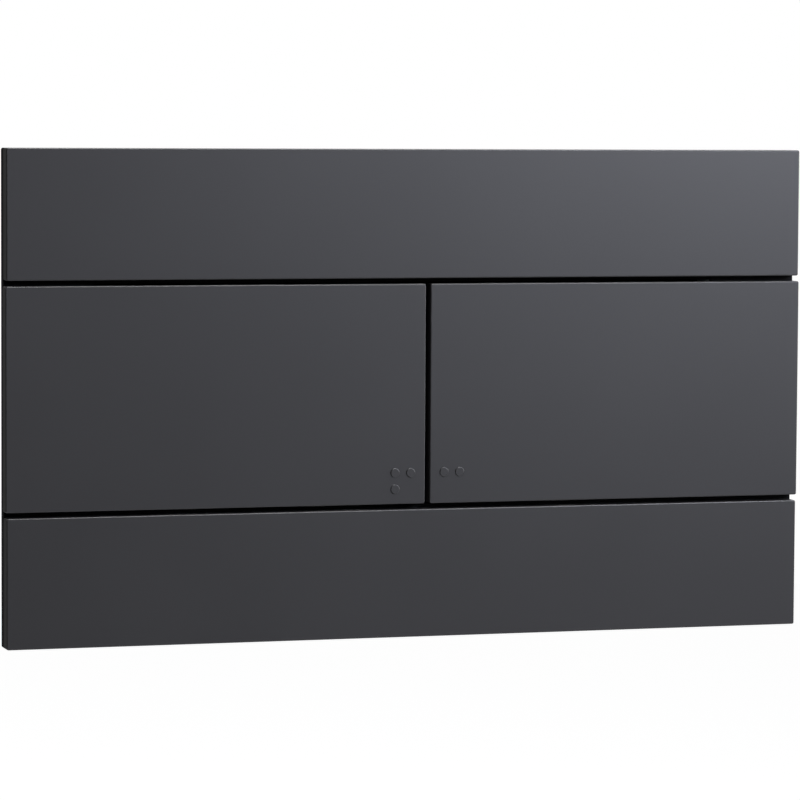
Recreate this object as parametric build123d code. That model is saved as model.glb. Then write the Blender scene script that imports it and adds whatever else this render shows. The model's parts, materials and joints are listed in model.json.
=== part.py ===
"""Dual flush plate for a cistern built into a wall.

Two fixed panels and two hinged buttons face a black carrier, which snaps into a frame in the wall.
Each button turns on an upright pin near the plate's end. The nose of its lever presses a sprung push rod.
X runs to the right, Y into the wall and Z up. The origin is the middle of the plate on the wall's face.
"""
from build123d import *
from math import radians, sin
import os

# Facing slabs, seen from the front
PLATE_HEIGHT = 130.0
PANEL_WIDTH = 220.0
BUTTON_HEIGHT = 58.6
BUTTON_OVERHANG = 0.25  # outer end of a button past the ends of the panels
ROW_GAP = 1.5  # between the buttons and the panels
BUTTON_GAP = 1.35  # between the two buttons
BUTTON_GAP_X = 4.0  # middle of that gap, to the right of the plate's middle
CORNER_RADIUS = 0.5
EDGE_RADIUS = 0.3

# Facing slabs, in depth
STAND_OFF = 7.0  # front face to wall
SLAB_DEPTH = 4.0
BUTTON_LIFT = 0.3  # back of a button to the front of the carrier
SKIN = 2.0
SIDE_WALL = 1.8
SLAB_RIB = 1.2
SLAB_RIB_DROP = 0.6  # ribs stop short of the slab's back by this
RIB_PITCH = 36.0
PEG_RADIUS = 2.0
PEG_END = 30.0  # outer pegs to the ends of the panel
PEG_INSET = 5.0  # from the outer long edge of a panel
PEG_LENGTH = 1.2

# Tactile dots
DOT_DIAMETER = 2.5
DOT_HEIGHT = 0.25
DOT_EDGE = 0.2  # rounding of the dot's rim
DOT_PITCH = 4.35
DOT_INSET = 4.0  # from the button's inner and lower edges
DOT_ROOT = 0.4  # depth of the dot's foot in the skin

# Small screws
SCREW_RADIUS = 1.1
SCREW_HEAD_RADIUS = 2.2
SCREW_HEAD_HEIGHT = 1.3
BOSS_RADIUS = 3.0
SCREW_TIP_GAP = 0.2  # bottom of the screw hole past the screw's tip
PANEL_SCREW_X = 30.0  # inner pair of a panel's screws
PANEL_SCREW_END = 22.0  # outer pair, from the ends of the panel
PANEL_SCREW_INSET = 7.5  # from the inner long edge of a panel
BUTTON_SCREW_INSET = 6.0  # from the ends of the lever

# Carrier
WEB = 1.4
RIM = 2.5
WINDOW_END_GAP = 0.6  # ends of the window to the hinge lugs
WINDOW_MARGIN = 0.4  # around the buttons' long edges
TRAY_WALL = 1.5
TRAY_FLOOR = 2.0
TRAY_LIP = 7.2  # floor left round the tray's openings
BRIDGE_WIDTH = 20.0  # floor left behind the gap between the buttons
HOOK_X = 58.0
HOOK_WIDTH = 12.0
HOOK_THICKNESS = 1.8
HOOK_CATCH = 7.0  # depth of the barb's holding face behind the wall's surface
HOOK_BARB = 1.7
HOOK_BARB_LENGTH = 4.0
BUFFER_RADIUS = 2.0
BUFFER_SEAT = 0.7
BUFFER_INSET = 5.0  # from the ends of the carrier
BUFFER_Z = 22.0

# Hinges
PRESS_ANGLE = 3.5
HINGE_INSET = 20.0  # pin's axis to the ends of the panels
HINGE_Y = 3.0
PIN_RADIUS = 1.5
PIN_CHAMFER = 0.3
LUG_RADIUS = 3.4
LUG_WIDTH = 3.5
EAR_RADIUS = 3.2
EAR_WIDTH = 5.0
EAR_Z = 19.5
EAR_ROOT = 6.0  # length of the ear's foot on the lever
EAR_SLOT_MARGIN = 0.8
PIN_OVERHANG = 1.6
CLIP_RADIUS = 3.0
CLIP_THICKNESS = 0.6

# Levers
LEVER_THICKNESS = 2.0
LEVER_HEIGHT = 52.0
LEVER_CORNER = 2.5
LEVER_WINDOW_CORNER = 1.5
LEVER_INNER_INSET = 4.0  # from the button's inner end
LEVER_HINGE_GAP = 2.0  # outer end of the lever to the carrier's window
LEVER_RIB = 1.5
LEVER_RIB_HEIGHT = 2.5
LEVER_RAIL = 12.0
LEVER_BAR = 10.0
LEVER_STRUT = 5.0  # middle rail and middle bar between the lever's windows
NOSE_RADIUS = 2.0
NOSE_LENGTH = 16.0

# Push rods
ROD_X = 35.0
ROD_RADIUS = 4.0
ROD_END = 78.0
ROD_CHAMFER = 1.0
CAP_FRONT = 4.0
CAP_RADIUS = 8.5
CAP_THICKNESS = 2.0
CAP_FLUTES = 20
CAP_FLUTE_RADIUS = 0.7
CAP_HUB_RADIUS = 5.5
CAP_HUB_LENGTH = 5.0
CAP_FLOOR = 2.6  # front of the cap to the rod's end
LOCK_NUT_LENGTH = 3.0
LOCK_NUT_CORNER = 0.4  # corners of the hexagon past the cap's hub
SPRING_GAP = 0.35  # inside of the coil to the lock nut's corners
SPRING_TURNS = 4.0
WIRE_RADIUS = 0.5
WIRE_SIDES = 8  # flats that stand for the round wire and keep the coil light
BUSH_FLANGE_RADIUS = 9.5
BUSH_FLANGE = 1.5
BUSH_RADIUS = 6.0
BUSH_LENGTH = 9.0
BUSH_BEAD = 0.4
BUSH_SLIT = 1.0  # slits that part the bush's tail into four fingers
BUSH_SLIT_START = 1.0  # behind the bush's flange

# Mounting frame
FRAME_WALL = 2.0
FRAME_CORNER = 5.0
FRAME_TAIL = 2.0  # skirt behind the bars
FRAME_END_GAP = 0.6  # hinge lugs to the ends of the skirt
FLANGE_GAP = 5.5  # flange to the carrier's rim, above and below
FLANGE_END_LIP = 6.0  # past the ends of the skirt
FLANGE_LONG_LIP = 8.0  # past the long sides of the skirt
FLANGE_SEAT = 0.1  # flange to the carrier's web
BAR_FRONT = 21.5
BAR_THICKNESS = 2.5
BAR_RIB = 1.5
BAR_RIB_HEIGHT = 6.5
BAR_ROOM = 1.5  # from a nut or a bush to the bar's ribs
BAR_BORDER = 3.0  # strip along the skirt that joins the bars
OPENING_CORNER = 3.0
RELIEF_Z = 29.0
RELIEF_LENGTH = 24.0
RELIEF_WIDTH = 8.0

# Fixings
FIXING_X = 70.0
FIXING_RADIUS = 3.0
FIXING_FRONT = 12.0
FIXING_SHOULDER = 50.0
STUD_RADIUS = 2.5
STUD_END = 72.0
FIXING_SLOT = 14.0
FIXING_NUT_RADIUS = 6.5
FIXING_NUT_LENGTH = 7.5
FIXING_NUT_FLANGE_RADIUS = 8.5
FIXING_NUT_FLANGE = 1.5
FIXING_NUT_FLUTES = 10
FIXING_NUT_FLUTE_RADIUS = 1.2

# Clearances
RUNNING = 0.05  # radial, pins, rods and screws in their holes
LOOSE = 0.3  # between mouldings that slip past each other
NOSE_CLEARANCE = 0.15  # lever's nose to the rod's cap

# Places that follow from those sizes
FRONT = -STAND_OFF
CARRIER_FRONT = FRONT + SLAB_DEPTH
BUTTON_BACK = CARRIER_FRONT - BUTTON_LIFT
WEB_BACK = CARRIER_FRONT + WEB
SKIN_BACK = FRONT + SKIN
LEVER_BACK = BUTTON_BACK + LEVER_THICKNESS
HALF_WIDTH = PANEL_WIDTH / 2
HALF_HEIGHT = PLATE_HEIGHT / 2
HALF_BUTTON = BUTTON_HEIGHT / 2
PANEL_INNER = HALF_BUTTON + ROW_GAP
HINGE_X = HALF_WIDTH - HINGE_INSET
WINDOW_HALF_WIDTH = HINGE_X - LUG_RADIUS - WINDOW_END_GAP
WINDOW_HALF_HEIGHT = HALF_BUTTON + WINDOW_MARGIN
LEVER_OUTER = WINDOW_HALF_WIDTH - LEVER_HINGE_GAP
BUTTON_SCREW_Z = (LEVER_HEIGHT - LEVER_RAIL) / 2
EAR_SLOT_HALF = EAR_WIDTH / 2 + LOOSE + RUNNING
SCREW_TIP = SKIN_BACK
BAR_BACK = BAR_FRONT + BAR_THICKNESS
BUSH_FRONT = BAR_FRONT - BUSH_FLANGE
CAP_BACK = CAP_FRONT + CAP_THICKNESS
ROD_FRONT = CAP_FRONT + CAP_FLOOR
HUB_BACK = CAP_BACK + CAP_HUB_LENGTH
LOCK_NUT_RADIUS = CAP_HUB_RADIUS + LOCK_NUT_CORNER
SPRING_RADIUS = LOCK_NUT_RADIUS + SPRING_GAP + WIRE_RADIUS
GUIDE_BAR_HALF = BUSH_FLANGE_RADIUS + BAR_ROOM + BAR_RIB
FIXING_BAR_HALF = FIXING_NUT_FLANGE_RADIUS + BAR_ROOM + BAR_RIB
FLANGE_FRONT = WEB_BACK + FLANGE_SEAT
FLANGE_HALF_HEIGHT = HALF_HEIGHT - RIM - FLANGE_GAP
FRAME_HALF_HEIGHT = FLANGE_HALF_HEIGHT - FLANGE_LONG_LIP
FRAME_HALF_WIDTH = HINGE_X + LUG_RADIUS + FRAME_END_GAP + FRAME_WALL
FLANGE_HALF_WIDTH = FRAME_HALF_WIDTH + FLANGE_END_LIP
FRAME_DEPTH = BAR_BACK + FRAME_TAIL
SIDES = {"left": -1, "right": 1}


def fill(outline, front, back):
    """Fills an outline drawn on the plate's face, x across and y up, between two depths."""
    return extrude(Plane.XZ.offset(-back) * outline, amount=back - front)


def area(x0, x1, z0, z1):
    """A rectangle between two places across and two up."""
    return Pos((x0 + x1) / 2, (z0 + z1) / 2) * Rectangle(abs(x1 - x0), abs(z1 - z0))


def rounded(x0, x1, z0, z1, radius):
    """A rectangle with round corners, between two places across and two up."""
    return Pos((x0 + x1) / 2, (z0 + z1) / 2) * RectangleRounded(abs(x1 - x0), abs(z1 - z0), radius)


def fluted(radius, count, flute):
    """A disc with hollow flutes round its edge, for the fingers."""
    return Circle(radius) - PolarLocations(radius, count) * Circle(flute)


def turned(*profile):
    """Revolves a closed profile of (radius, depth) points about the depth axis."""
    return revolve(make_face(Polyline(*profile, close=True)), axis=Axis.Y)


def place(solid, x, z):
    """Moves a piece across and up the plate."""
    return Pos(x, 0, z) * solid


def inner_edge(side):
    """Where a button ends beside the gap in the middle."""
    return BUTTON_GAP_X + side * BUTTON_GAP / 2


def outer_edge(side):
    """Where a button ends at the end of the plate."""
    return side * (HALF_WIDTH + BUTTON_OVERHANG)


def lever_inner(side):
    """Where a lever ends beside the gap in the middle."""
    return inner_edge(side) + side * LEVER_INNER_INSET


def hollow_slab(x0, x1, z0, z1, back):
    """A facing slab: rounded front edges, an even skin, side walls and a grid of low ribs behind."""
    x0, x1 = sorted((x0, x1))
    z0, z1 = sorted((z0, z1))
    slab = fill(rounded(x0, x1, z0, z1, CORNER_RADIUS), FRONT, back)
    slab = fillet(slab.faces().sort_by(Axis.Y)[0].edges(), EDGE_RADIUS)
    hollow = area(x0 + SIDE_WALL, x1 - SIDE_WALL, z0 + SIDE_WALL, z1 - SIDE_WALL)
    slab -= fill(hollow, SKIN_BACK, back)
    ribs = area(x0 + SIDE_WALL, x1 - SIDE_WALL, (z0 + z1 - SLAB_RIB) / 2, (z0 + z1 + SLAB_RIB) / 2)
    count = max(1, round((x1 - x0) / RIB_PITCH))
    for step in range(1, count):
        x = x0 + (x1 - x0) * step / count
        ribs += area(x - SLAB_RIB / 2, x + SLAB_RIB / 2, z0 + SIDE_WALL, z1 - SIDE_WALL)
    return slab + fill(ribs, SKIN_BACK, back - SLAB_RIB_DROP)


def with_bosses(slab, points, back):
    """Adds screw bosses and their holes behind a slab's skin."""
    for x, z in points:
        slab += fill(Pos(x, z) * Circle(BOSS_RADIUS), SKIN_BACK, back)
    for x, z in points:
        slab -= fill(Pos(x, z) * Circle(SCREW_RADIUS + RUNNING), SCREW_TIP - SCREW_TIP_GAP, back)
    return slab


def panel_screw_points(end):
    """Screw places of the top panel (end 1) or the bottom panel (end -1)."""
    z = end * (PANEL_INNER + PANEL_SCREW_INSET)
    return [(side * x, z) for x in (PANEL_SCREW_X, HALF_WIDTH - PANEL_SCREW_END) for side in (-1, 1)]


def peg_points(end):
    """Places of the pegs that locate a panel's outer edge."""
    z = end * (HALF_HEIGHT - PEG_INSET)
    x = HALF_WIDTH - PEG_END
    return [(-x, z), (0, z), (x, z)]


def button_screw_points(side):
    """Screw places of a button, near the four corners of its lever."""
    xs = (side * (LEVER_OUTER - BUTTON_SCREW_INSET), lever_inner(side) + side * BUTTON_SCREW_INSET)
    return [(x, z) for x in xs for z in (-BUTTON_SCREW_Z, BUTTON_SCREW_Z)]


def panel(end):
    """A fixed panel, with screw bosses along its inner edge and pegs along its outer one."""
    slab = hollow_slab(-HALF_WIDTH, HALF_WIDTH, end * PANEL_INNER, end * HALF_HEIGHT, CARRIER_FRONT)
    slab = with_bosses(slab, panel_screw_points(end), CARRIER_FRONT)
    for x, z in peg_points(end):
        slab += fill(Pos(x, z) * Circle(PEG_RADIUS), SKIN_BACK, CARRIER_FRONT + PEG_LENGTH)
    return slab


def dot():
    """A raised tactile dot: a low disc with a rounded rim and a short foot in the skin."""
    disc = fill(Circle(DOT_DIAMETER / 2), FRONT - DOT_HEIGHT, FRONT + DOT_ROOT)
    return fillet(disc.faces().sort_by(Axis.Y)[0].edges(), DOT_EDGE)


def dot_points(side):
    """Three dots on the full-flush button and two on the part-flush one, as (column, row)."""
    marks = [(0, 1), (1, 1), (1, 0)] if side < 0 else [(0, 1), (1, 1)]
    for column, row in marks:
        x = inner_edge(side) + side * (DOT_INSET + column * DOT_PITCH)
        z = -HALF_BUTTON + DOT_INSET + row * DOT_PITCH
        yield x, z


def button(side):
    """A button's cap, with its dots and screw bosses."""
    cap = hollow_slab(outer_edge(side), inner_edge(side), -HALF_BUTTON, HALF_BUTTON, BUTTON_BACK)
    cap = with_bosses(cap, button_screw_points(side), BUTTON_BACK)
    for x, z in dot_points(side):
        cap += place(dot(), x, z)
    return cap


def lever_bays(side):
    """The stretches of a lever that have windows, between its bars."""
    outer = side * (LEVER_OUTER - LEVER_BAR)
    nose = side * (ROD_X + LEVER_BAR / 2)
    middle = (outer + nose) / 2
    strut = side * LEVER_STRUT / 2
    inner = lever_inner(side) + side * LEVER_BAR
    return [(outer, middle + strut), (middle - strut, nose), (side * (ROD_X - LEVER_BAR / 2), inner)]


def lever(side):
    """The rocker behind a button: a ribbed ladder with two hinge ears and a nose for the push rod."""
    outer = side * LEVER_OUTER
    inner = lever_inner(side)
    half = LEVER_HEIGHT / 2
    window = half - LEVER_RAIL
    outline = rounded(outer, inner, -half, half, LEVER_CORNER)
    plate = outline
    for x0, x1 in lever_bays(side):
        for end in (-1, 1):
            plate -= rounded(x0, x1, end * LEVER_STRUT / 2, end * window, LEVER_WINDOW_CORNER)
    body = fill(plate, BUTTON_BACK, LEVER_BACK)
    rib = side * LEVER_RIB
    low = half - LEVER_RIB
    ribs = outline - rounded(outer - rib, inner + rib, -low, low, LEVER_CORNER - LEVER_RIB)
    for end in (-1, 1):
        ribs += area(outer, inner, end * window, end * (window + LEVER_RIB))
    body += fill(ribs, LEVER_BACK, LEVER_BACK + LEVER_RIB_HEIGHT)
    nose_y = CAP_FRONT - NOSE_CLEARANCE - NOSE_RADIUS
    nose = area(side * ROD_X - NOSE_RADIUS, side * ROD_X + NOSE_RADIUS, LEVER_BACK, nose_y)
    nose += Pos(side * ROD_X, nose_y) * Circle(NOSE_RADIUS)
    body += extrude(nose, NOSE_LENGTH / 2, both=True)
    for end in (-1, 1):
        body += Pos(0, 0, end * EAR_Z) * ear(side)
    axis = Pos(side * HINGE_X, HINGE_Y) * Circle(PIN_RADIUS + RUNNING)
    body -= extrude(axis, half, both=True)
    for x, z in button_screw_points(side):
        body -= fill(Pos(x, z) * Circle(SCREW_RADIUS + LOOSE), BUTTON_BACK, LEVER_BACK)
    return body


def ear(side):
    """One hinge ear: from its foot on the lever, round the pin."""
    foot_middle = (BUTTON_BACK + LEVER_BACK) / 2
    foot = Pos(side * LEVER_OUTER, foot_middle) * Rectangle(EAR_ROOT, LEVER_THICKNESS)
    eye = Pos(side * HINGE_X, HINGE_Y) * Circle(EAR_RADIUS)
    return extrude(make_hull((foot + eye).edges()), EAR_WIDTH / 2, both=True)


def lug_places():
    """Middles of the four lugs along a pin: a fork on either side of each ear."""
    step = EAR_SLOT_HALF + LUG_WIDTH / 2
    return [end * (EAR_Z + way * step) for end in (-1, 1) for way in (-1, 1)]


def lug(side):
    """A bearing lug on the back of the carrier."""
    outline = area(side * (HINGE_X - LUG_RADIUS), side * (HINGE_X + LUG_RADIUS), WEB_BACK, HINGE_Y)
    outline += Pos(side * HINGE_X, HINGE_Y) * Circle(LUG_RADIUS)
    outline -= Pos(side * HINGE_X, HINGE_Y) * Circle(PIN_RADIUS + RUNNING)
    return extrude(outline, LUG_WIDTH / 2, both=True)


def hook(end):
    """A snap hook that holds the carrier in the mounting frame: an arm with a barb."""
    outer = FRAME_HALF_HEIGHT - FRAME_WALL - LOOSE
    tip = HOOK_CATCH + HOOK_BARB_LENGTH
    profile = Polyline(
        (WEB_BACK, outer - HOOK_THICKNESS),
        (WEB_BACK, outer),
        (HOOK_CATCH, outer),
        (HOOK_CATCH, outer + HOOK_BARB),
        (tip, outer),
        (tip, outer - HOOK_THICKNESS),
        close=True,
    )
    arm = extrude(Plane.YZ * make_face(profile), HOOK_WIDTH / 2, both=True)
    return arm if end > 0 else mirror(arm, Plane.XY)


def buffer_points(side):
    """Places of the two rubber pads under a button's outer end."""
    x = side * (HALF_WIDTH - BUFFER_INSET)
    return [(x, -BUFFER_Z), (x, BUFFER_Z)]


def tray():
    """Walls along the buttons and a floor with two openings, which the pressed levers almost reach."""
    reach = max(HINGE_X - side * lever_inner(side) for side in SIDES.values())
    front = LEVER_BACK + LEVER_RIB_HEIGHT + reach * sin(radians(PRESS_ANGLE)) + LOOSE
    back = front + TRAY_FLOOR
    width = 2 * WINDOW_HALF_WIDTH
    block = fill(Rectangle(width, 2 * (WINDOW_HALF_HEIGHT + TRAY_WALL)), WEB_BACK, back)
    block -= fill(Rectangle(width, 2 * WINDOW_HALF_HEIGHT), WEB_BACK, front)
    half = WINDOW_HALF_HEIGHT - TRAY_LIP
    for side in SIDES.values():
        inner = BUTTON_GAP_X + side * BRIDGE_WIDTH / 2
        outer = side * (WINDOW_HALF_WIDTH - TRAY_LIP)
        block -= fill(rounded(inner, outer, -half, half, OPENING_CORNER), front, back)
    return block


def carrier():
    """The black base moulding: a web with a rim, a tray behind its window, hinge forks and snap hooks."""
    body = fill(RectangleRounded(PANEL_WIDTH, PLATE_HEIGHT, CORNER_RADIUS), CARRIER_FRONT, 0)
    body -= fill(Rectangle(PANEL_WIDTH - 2 * RIM, PLATE_HEIGHT - 2 * RIM), WEB_BACK, 0)
    body += tray()
    cuts = Rectangle(2 * WINDOW_HALF_WIDTH, 2 * WINDOW_HALF_HEIGHT)
    for side in SIDES.values():
        slot_end = side * (HINGE_X + EAR_RADIUS + EAR_SLOT_MARGIN)
        for end in (-1, 1):
            z = end * EAR_Z
            cuts += area(side * LEVER_OUTER, slot_end, z - EAR_SLOT_HALF, z + EAR_SLOT_HALF)
    for end in (-1, 1):
        for x, z in panel_screw_points(end):
            cuts += Pos(x, z) * Circle(SCREW_RADIUS + LOOSE)
        for x, z in peg_points(end):
            cuts += Pos(x, z) * Circle(PEG_RADIUS + RUNNING)
    body -= fill(cuts, CARRIER_FRONT, WEB_BACK)
    recess = Circle(BUFFER_RADIUS + RUNNING)
    for side in SIDES.values():
        for x, z in buffer_points(side):
            body -= fill(Pos(x, z) * recess, CARRIER_FRONT, CARRIER_FRONT + BUFFER_SEAT)
        for z in lug_places():
            body += Pos(0, 0, z) * lug(side)
        for end in (-1, 1):
            body += Pos(side * HOOK_X, 0, 0) * hook(end)
    return body


def bar_edges():
    """The edges of the four upright bars across the mounting frame, from left to right."""
    guide = (ROD_X - GUIDE_BAR_HALF, ROD_X + GUIDE_BAR_HALF)
    fixing = (FIXING_X - FIXING_BAR_HALF, FIXING_X + FIXING_BAR_HALF)
    right = [*guide, *fixing]
    return sorted([-x for x in right] + right)


def frame_back():
    """The back wall of the mounting frame: openings with round corners leave the bars, with their holes."""
    half_width = FRAME_HALF_WIDTH - FRAME_WALL
    half_height = FRAME_HALF_HEIGHT - FRAME_WALL
    opening_half = half_height - BAR_BORDER
    wall = Rectangle(2 * half_width, 2 * half_height)
    sides = [BAR_BORDER - half_width, *bar_edges(), half_width - BAR_BORDER]
    for x0, x1 in zip(sides[0::2], sides[1::2]):
        if x1 - x0 > 2 * OPENING_CORNER:
            wall -= rounded(x0, x1, -opening_half, opening_half, OPENING_CORNER)
    for side in SIDES.values():
        wall -= Pos(side * ROD_X, 0) * Circle(BUSH_RADIUS + RUNNING)
        wall -= Pos(side * FIXING_X, 0) * SlotOverall(FIXING_SLOT, 2 * (FIXING_RADIUS + LOOSE))
        for x in (side * ROD_X, side * FIXING_X):
            for z in (-RELIEF_Z, RELIEF_Z):
                wall -= Pos(x, z) * SlotOverall(RELIEF_LENGTH, RELIEF_WIDTH, rotation=90)
    back = fill(wall, BAR_FRONT, BAR_BACK)
    ribs = Sketch()
    for place_in_row, x in enumerate(bar_edges()):
        inward = BAR_RIB if place_in_row % 2 == 0 else -BAR_RIB
        ribs += area(x, x + inward, -half_height, half_height)
    return back + fill(ribs, BAR_FRONT - BAR_RIB_HEIGHT, BAR_FRONT)


def mounting_frame():
    """The frame in the wall: a flange on the wall, a skirt in the opening and bars for rods and fixings."""
    skirt = RectangleRounded(2 * FRAME_HALF_WIDTH, 2 * FRAME_HALF_HEIGHT, FRAME_CORNER)
    inside = offset(skirt, -FRAME_WALL)
    flange = RectangleRounded(2 * FLANGE_HALF_WIDTH, 2 * FLANGE_HALF_HEIGHT, FRAME_CORNER)
    body = fill(flange - inside, FLANGE_FRONT, 0) + fill(skirt - inside, 0, FRAME_DEPTH)
    body += frame_back() & fill(skirt, 0, FRAME_DEPTH)
    catch = HOOK_CATCH - LOOSE
    slot_back = HOOK_CATCH + HOOK_BARB_LENGTH + LOOSE
    half = HOOK_WIDTH / 2 + LOOSE
    for side in SIDES.values():
        slot = area(side * HOOK_X - half, side * HOOK_X + half, catch, slot_back)
        body -= extrude(slot, FRAME_HALF_HEIGHT, both=True)
    return body


def hinge_pin(side):
    """The steel pin of one hinge, with a clip's length past the outer lugs."""
    half = max(lug_places()) + LUG_WIDTH / 2 + PIN_OVERHANG
    pin = Cylinder(PIN_RADIUS, 2 * half)
    pin = chamfer(pin.edges().filter_by(GeomType.CIRCLE), PIN_CHAMFER)
    return Pos(side * HINGE_X, HINGE_Y, 0) * pin


def pin_clips():
    """Push-on clips at both ends of both pins."""
    middle = max(lug_places()) + LUG_WIDTH / 2 + LOOSE + CLIP_THICKNESS / 2
    clip = Cylinder(CLIP_RADIUS, CLIP_THICKNESS) - Cylinder(PIN_RADIUS + RUNNING, CLIP_THICKNESS)
    return [Pos(side * HINGE_X, HINGE_Y, end * middle) * clip for side in SIDES.values() for end in (-1, 1)]


def rod_cap(side):
    """The flat-headed adjuster on the front of a push rod: a fluted disc, and a hub with a blind hole."""
    cap = fill(fluted(CAP_RADIUS, CAP_FLUTES, CAP_FLUTE_RADIUS), CAP_FRONT, CAP_BACK)
    cap += fill(Circle(CAP_HUB_RADIUS), CAP_BACK, HUB_BACK)
    cap -= fill(Circle(ROD_RADIUS + RUNNING), ROD_FRONT, HUB_BACK)
    return place(cap, side * ROD_X, 0)


def push_rod(side):
    """A push rod with a chamfered free end."""
    rod = turned(
        (0, ROD_FRONT),
        (ROD_RADIUS, ROD_FRONT),
        (ROD_RADIUS, ROD_END - ROD_CHAMFER),
        (ROD_RADIUS - ROD_CHAMFER, ROD_END),
        (0, ROD_END),
    )
    return place(rod, side * ROD_X, 0)


def lock_nut(side):
    """The hexagon nut that locks a cap on its rod."""
    ring = RegularPolygon(LOCK_NUT_RADIUS, 6) - Circle(ROD_RADIUS + RUNNING)
    return place(fill(ring, HUB_BACK, HUB_BACK + LOCK_NUT_LENGTH), side * ROD_X, 0)


def return_spring(side):
    """The coil spring between a rod's cap and its bush."""
    front = CAP_BACK + WIRE_RADIUS + RUNNING
    back = BUSH_FRONT - WIRE_RADIUS - RUNNING
    path = Helix((back - front) / SPRING_TURNS, back - front, SPRING_RADIUS)
    section = Plane(path @ 0, z_dir=path % 0) * RegularPolygon(WIRE_RADIUS, WIRE_SIDES)
    coil = sweep(section, path, is_frenet=True)
    return Pos(side * ROD_X, front, 0) * (Rot(-90, 0, 0) * coil)


def guide_bush(side):
    """The flanged bush that guides a push rod, with sprung fingers and a snap bead behind its bar."""
    bore = ROD_RADIUS + RUNNING
    end = BUSH_FRONT + BUSH_LENGTH
    bush = turned(
        (bore, BUSH_FRONT),
        (BUSH_FLANGE_RADIUS, BUSH_FRONT),
        (BUSH_FLANGE_RADIUS, BAR_FRONT),
        (BUSH_RADIUS, BAR_FRONT),
        (BUSH_RADIUS, BAR_BACK + RUNNING),
        (BUSH_RADIUS + BUSH_BEAD, BAR_BACK + RUNNING),
        (BUSH_RADIUS, end),
        (bore, end),
    )
    across = 2 * (BUSH_RADIUS + BUSH_BEAD)
    slits = Rectangle(across, BUSH_SLIT) + Rectangle(BUSH_SLIT, across)
    bush -= fill(slits, BAR_FRONT + BUSH_SLIT_START, end)
    return place(bush, side * ROD_X, 0)


def fixing_rod(side):
    """A threaded rod with a thinner stud end that screws into the cistern."""
    chamfer = ROD_CHAMFER
    rod = turned(
        (0, FIXING_FRONT),
        (FIXING_RADIUS - chamfer, FIXING_FRONT),
        (FIXING_RADIUS, FIXING_FRONT + chamfer),
        (FIXING_RADIUS, FIXING_SHOULDER),
        (STUD_RADIUS, FIXING_SHOULDER),
        (STUD_RADIUS, STUD_END - chamfer),
        (STUD_RADIUS - chamfer, STUD_END),
        (0, STUD_END),
    )
    return place(rod, side * FIXING_X, 0)


def fixing_nut(side):
    """The fluted thumb nut, with a flange, that clamps the mounting frame."""
    front = BAR_FRONT - FIXING_NUT_LENGTH
    step = BAR_FRONT - FIXING_NUT_FLANGE
    nut = fill(fluted(FIXING_NUT_RADIUS, FIXING_NUT_FLUTES, FIXING_NUT_FLUTE_RADIUS), front, step)
    nut += fill(Circle(FIXING_NUT_FLANGE_RADIUS), step, BAR_FRONT)
    nut -= fill(Circle(FIXING_RADIUS + RUNNING), front, BAR_FRONT)
    return place(nut, side * FIXING_X, 0)


def screws(points, seat):
    """Small pan-head screws with their heads seated at one depth, pointing to the front."""
    top = seat + SCREW_HEAD_HEIGHT
    screw = turned(
        (0, SCREW_TIP),
        (SCREW_RADIUS, SCREW_TIP + SCREW_RADIUS),
        (SCREW_RADIUS, seat),
        (SCREW_HEAD_RADIUS, seat),
        (SCREW_HEAD_RADIUS, seat + SCREW_HEAD_HEIGHT / 2),
        (SCREW_HEAD_RADIUS / 2, top),
        (0, top),
    )
    return [place(screw, x, z) for x, z in points]


def buffers(side):
    """Rubber pads in the carrier, touching the back of a button's outer end."""
    pad = fill(Circle(BUFFER_RADIUS), BUTTON_BACK, CARRIER_FRONT + BUFFER_SEAT)
    return [place(pad, x, z) for x, z in buffer_points(side)]


def pieces():
    """Every node of the plate by name."""
    nodes = {
        "carrier": carrier(),
        "mounting_frame": mounting_frame(),
        "top_panel": panel(1),
        "bottom_panel": panel(-1),
        "top_panel_screws": screws(panel_screw_points(1), WEB_BACK),
        "bottom_panel_screws": screws(panel_screw_points(-1), WEB_BACK),
        "pin_clips": pin_clips(),
    }
    makers = (button, lever, hinge_pin, rod_cap, push_rod, lock_nut, return_spring)
    makers += (guide_bush, fixing_rod, fixing_nut, buffers)
    for name, side in SIDES.items():
        for make in makers:
            nodes[f"{name}_{make.__name__}"] = make(side)
        nodes[f"{name}_button_screws"] = screws(button_screw_points(side), LEVER_BACK)
    return nodes


os.makedirs("parts", exist_ok=True)
for node, shape in pieces().items():
    if isinstance(shape, list):
        shape = Compound(children=shape)
    export_step(shape, f"parts/{node}.step")
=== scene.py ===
import json
from functools import cache
from math import cos, hypot, pi, radians, sin

import bmesh
import bpy
from bpy.props import FloatProperty, FloatVectorProperty, PointerProperty
from bpy.types import Operator, Panel, PropertyGroup
from mathutils import Matrix, Vector


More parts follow.
